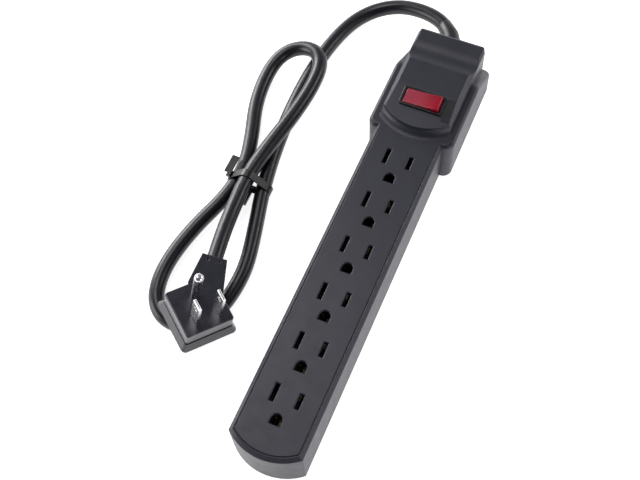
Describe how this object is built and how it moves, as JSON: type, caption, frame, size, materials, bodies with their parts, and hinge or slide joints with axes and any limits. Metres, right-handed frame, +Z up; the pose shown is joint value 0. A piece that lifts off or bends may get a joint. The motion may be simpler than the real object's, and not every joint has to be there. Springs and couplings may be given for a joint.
{
  "type": "power strip",
  "caption": "Long narrow outlet strip with a raised head that carries a lit rocker switch, and a short cord tied in loops with a flat angled three-pin plug.",
  "frame": {"origin": "middle of the strip's underside, cord and plug not counted", "axes": "+Y along the strip towards the switch and cord end, +X across it, +Z up out of the outlet face"},
  "size_m": [0.1242, 0.2879, 0.0445],
  "materials": {
    "case_plastic": "satin charcoal ABS with a fine moulded texture",
    "base_plastic": "satin black ABS",
    "screw_steel": "zinc-plated steel",
    "contact_brass": "stamped brass strip",
    "black_wire": "satin PVC insulation",
    "white_wire": "satin PVC insulation",
    "green_wire": "satin PVC insulation",
    "board_laminate": "phenolic circuit board",
    "varistor_coating": "dipped epoxy coating",
    "fuse_metal": "drawn can with tinned leads",
    "switch_plastic": "glossy black nylon",
    "rocker_lens": "translucent red polycarbonate",
    "plunger_nylon": "natural nylon",
    "lamp_glass": "clear glass neon lamp with tinned leads",
    "grip_rubber": "soft moulded PVC",
    "cord_jacket": "smooth satin-gloss black PVC jacket",
    "tie_plastic": "glossy black plastic strip",
    "plug_vinyl": "smooth satin-gloss moulded PVC",
    "pin_nickel": "bright nickel-plated brass"
  },
  "bodies": {
    "strip": {"top_cover": "case_plastic", "bottom_cover": "base_plastic", "case_screws": "screw_steel", "hot_contact_bar": "contact_brass", "neutral_contact_bar": "contact_brass", "ground_contact_bar": "contact_brass", "line_wire": "black_wire", "load_wire": "black_wire", "neutral_wire": "white_wire", "ground_wire": "green_wire", "lamp_wire": "white_wire", "surge_leads": "black_wire", "surge_board": "board_laminate", "board_screws": "screw_steel", "varistors": "varistor_coating", "thermal_fuse": "fuse_metal", "switch_housing": "switch_plastic", "switch_terminals": "contact_brass", "indicator_lamp": "lamp_glass", "strain_relief": "grip_rubber", "cord_clamp": "base_plastic", "clamp_screws": "screw_steel", "cord": "cord_jacket", "cord_tie": "tie_plastic", "plug_body": "plug_vinyl", "plug_pin_carrier": "base_plastic", "plug_neutral_blade": "pin_nickel", "plug_line_blade": "pin_nickel", "plug_ground_pin": "pin_nickel"},
    "rocker": {"switch_rocker": "rocker_lens", "switch_plunger": "plunger_nylon"},
    "lever": {"contact_lever": "contact_brass"}
  },
  "joints": [
    {"name": "rocker_hinge", "type": "hinge", "parent": "strip", "child": "rocker", "pos_m": [0, 0.07994, 0.03284], "axis": [0, 0.9971, 0.0761], "range_deg": [0, 14]},
    {"name": "lever_hinge", "type": "hinge", "parent": "strip", "child": "lever", "pos_m": [0, 0.08063, 0.02387], "axis": [0, 0.9971, 0.0761], "range_deg": [-12, 0]}
  ],
  "couplings": [
    {"joint": "lever_hinge", "follows": "rocker_hinge", "ratio": -0.85714}
  ]
}
